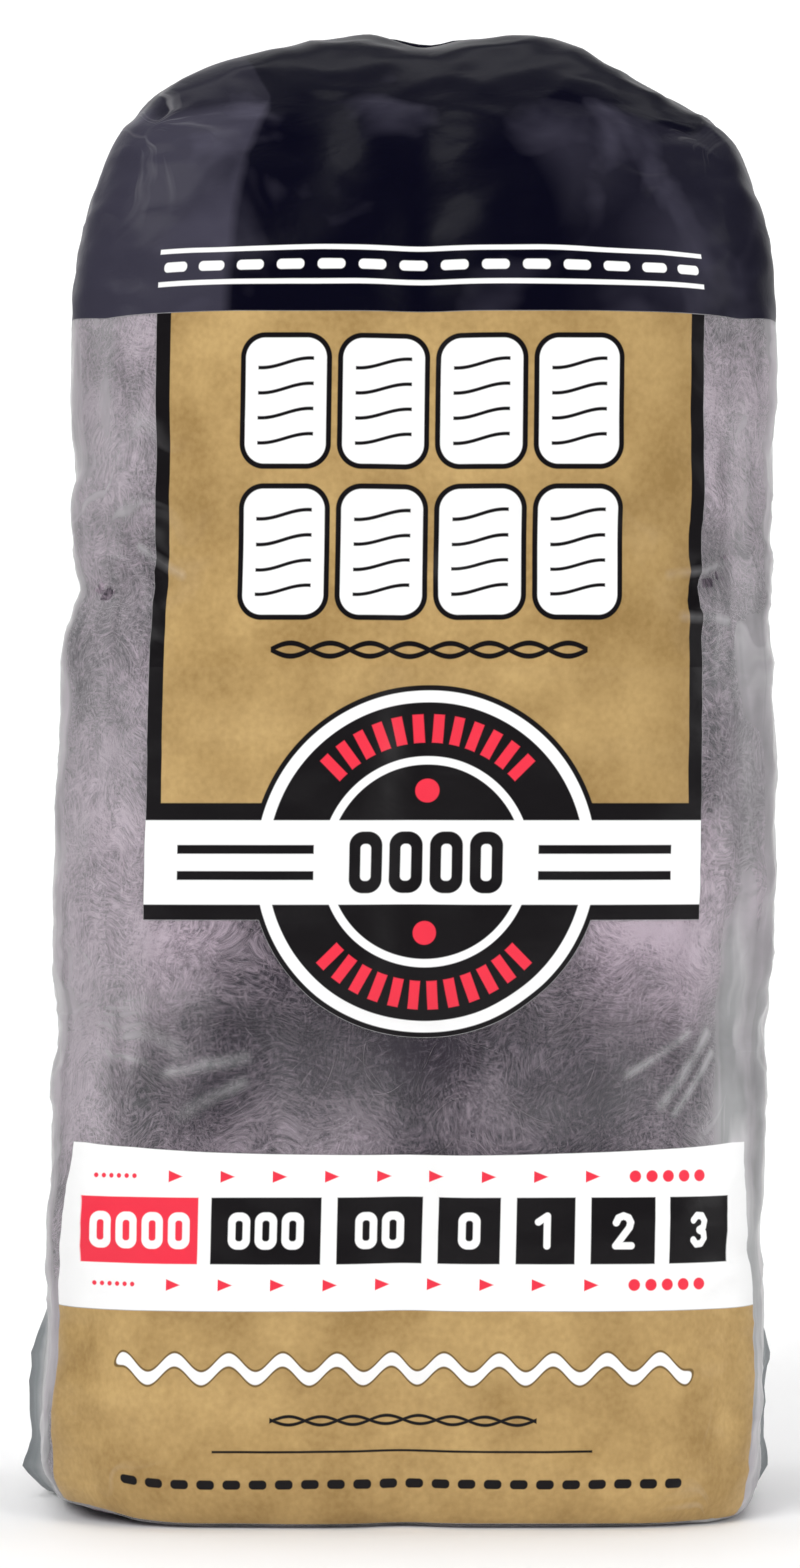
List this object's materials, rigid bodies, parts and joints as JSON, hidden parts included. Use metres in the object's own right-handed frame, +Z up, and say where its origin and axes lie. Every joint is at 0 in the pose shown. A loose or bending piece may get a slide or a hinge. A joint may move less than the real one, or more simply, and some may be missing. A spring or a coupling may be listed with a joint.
{
  "type": "bagged pack of steel wool pads",
  "caption": "Upright clear film bag with a printed front, packed tight with soft blocks of steel wool in columns, rows and layers.",
  "frame": {"origin": "middle of the flat base that the bag stands on", "axes": "+Z up the bag, the printed front faces -Y, +X is to the right of someone who looks at the front"},
  "size_m": [0.1339, 0.0704, 0.2596],
  "materials": {
    "printed_film": "clear polythene film, glossy and creased, printed on the front in opaque navy, black, white, gold and red",
    "steel_wool": "very fine matted steel strands, dull grey with bright single strands"
  },
  "bodies": {
    "root": {"film_bag": "printed_film", "pad_front_left_bottom": "steel_wool", "pad_front_left_middle": "steel_wool", "pad_front_left_top": "steel_wool", "pad_front_right_bottom": "steel_wool", "pad_front_right_middle": "steel_wool", "pad_front_right_top": "steel_wool", "pad_back_left_bottom": "steel_wool", "pad_back_left_middle": "steel_wool", "pad_back_left_top": "steel_wool", "pad_back_right_bottom": "steel_wool", "pad_back_right_middle": "steel_wool", "pad_back_right_top": "steel_wool"}
  },
  "joints": []
}
